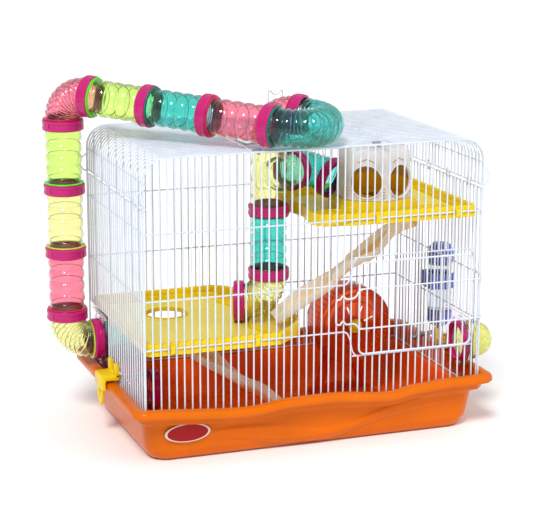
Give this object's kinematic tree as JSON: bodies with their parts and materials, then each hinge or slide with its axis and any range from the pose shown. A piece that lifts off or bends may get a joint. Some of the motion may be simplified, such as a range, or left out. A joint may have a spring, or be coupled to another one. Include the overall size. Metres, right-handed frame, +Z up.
{
  "type": "hamster cage",
  "caption": "Small-pet cage: wire cage on a deep plastic tray, with platforms, slides, a house, a running wheel, a water bottle and an outside tube run.",
  "frame": {"origin": "middle of the tray's underside, on the surface it stands on", "axes": "+X to the right along the long side as seen from the door, +Y to the back, +Z up"},
  "size_m": [0.5653, 0.3184, 0.4611],
  "materials": {
    "tray": "glossy moulded plastic",
    "wire": "white powder-coated wire",
    "yellow_plastic": "glossy",
    "clear_plastic": "clear",
    "slide_plastic": "translucent",
    "house_plastic": "translucent",
    "wheel_plastic": "translucent",
    "blue_plastic": "glossy",
    "spout_steel": "polished",
    "clear_yellow": "translucent",
    "clear_pink": "translucent",
    "clear_green": "translucent",
    "clear_teal": "translucent",
    "ring_plastic": "glossy"
  },
  "bodies": {
    "cage": {"tray": "tray", "front_panel": "wire", "back_panel": "wire", "left_panel": "wire", "left_tube_plate": "clear_plastic", "right_panel": "wire", "right_tube_plate": "clear_plastic", "roof_panel": "wire", "roof_hatch": "wire", "lower_platform": "yellow_plastic", "upper_platform": "yellow_plastic", "house": "house_plastic", "upper_slide": "slide_plastic", "lower_slide": "slide_plastic", "wheel_stand": "wheel_plastic", "bottle_body": "clear_plastic", "bottle_neck_cap": "blue_plastic", "bottle_holder": "blue_plastic", "bottle_spout": "spout_steel", "column_bottom_elbow": "clear_yellow", "column_lower_tube": "clear_pink", "column_middle_tube": "clear_yellow", "column_upper_tube": "clear_green", "column_top_elbow": "clear_pink", "bridge_tube_1": "clear_green", "bridge_tube_2": "clear_teal", "bridge_tube_3": "clear_pink", "return_bend": "clear_teal", "roof_elbow": "clear_pink", "tee_junction": "clear_yellow", "tee_side_elbow": "clear_teal", "drop_tube": "clear_teal", "drop_elbow": "clear_yellow", "entry_elbow": "clear_teal", "floor_elbow": "clear_yellow", "ring_left_wall": "ring_plastic", "ring_tee_side": "ring_plastic", "ring_side_outlet": "ring_plastic", "ring_tee_bottom": "ring_plastic", "ring_drop": "ring_plastic", "ring_deck_outlet": "ring_plastic", "ring_entry": "ring_plastic", "ring_floor_outlet": "ring_plastic", "ring_return": "ring_plastic", "ring_right_wall": "ring_plastic", "ring_column_1": "ring_plastic", "ring_column_2": "ring_plastic", "ring_column_3": "ring_plastic", "ring_column_4": "ring_plastic", "ring_bridge_1": "ring_plastic", "ring_bridge_2": "ring_plastic", "ring_bridge_3": "ring_plastic", "ring_bridge_4": "ring_plastic"},
    "door": {"front_door": "wire"},
    "left_clip": {"left_tray_clip": "yellow_plastic"},
    "right_clip": {"right_tray_clip": "yellow_plastic"},
    "roof_handle": {"roof_loop": "wire"},
    "wheel": {"wheel_drum": "wheel_plastic", "wheel_hub_cap": "yellow_plastic"},
    "dome": {"dome_cap": "clear_yellow"}
  },
  "joints": [
    {"name": "front_door_hinge", "type": "hinge", "parent": "cage", "child": "door", "pos_m": [0.225, -0.133, 0.176], "axis": [0, 0, 1], "range_deg": [0, 150]},
    {"name": "left_clip_hinge", "type": "hinge", "parent": "cage", "child": "left_clip", "pos_m": [-0.2293, 0, 0.097], "axis": [0, 1, 0], "range_deg": [0, 80]},
    {"name": "right_clip_hinge", "type": "hinge", "parent": "cage", "child": "right_clip", "pos_m": [0.2293, -0.01, 0.097], "axis": [0, -1, 0], "range_deg": [0, 80]},
    {"name": "roof_loop_hinge", "type": "hinge", "parent": "cage", "child": "roof_handle", "pos_m": [-0.003, 0.014, 0.387], "axis": [-1, 0, 0], "range_deg": [0, 80]},
    {"name": "wheel_spin", "type": "hinge", "parent": "cage", "child": "wheel", "pos_m": [0.112, 0.035, 0.11], "axis": [0, 1, 0], "continuous": true},
    {"name": "dome_pull", "type": "slide", "parent": "cage", "child": "dome", "axis": [1, 0, 0], "range_m": [0, 0.03]}
  ]
}
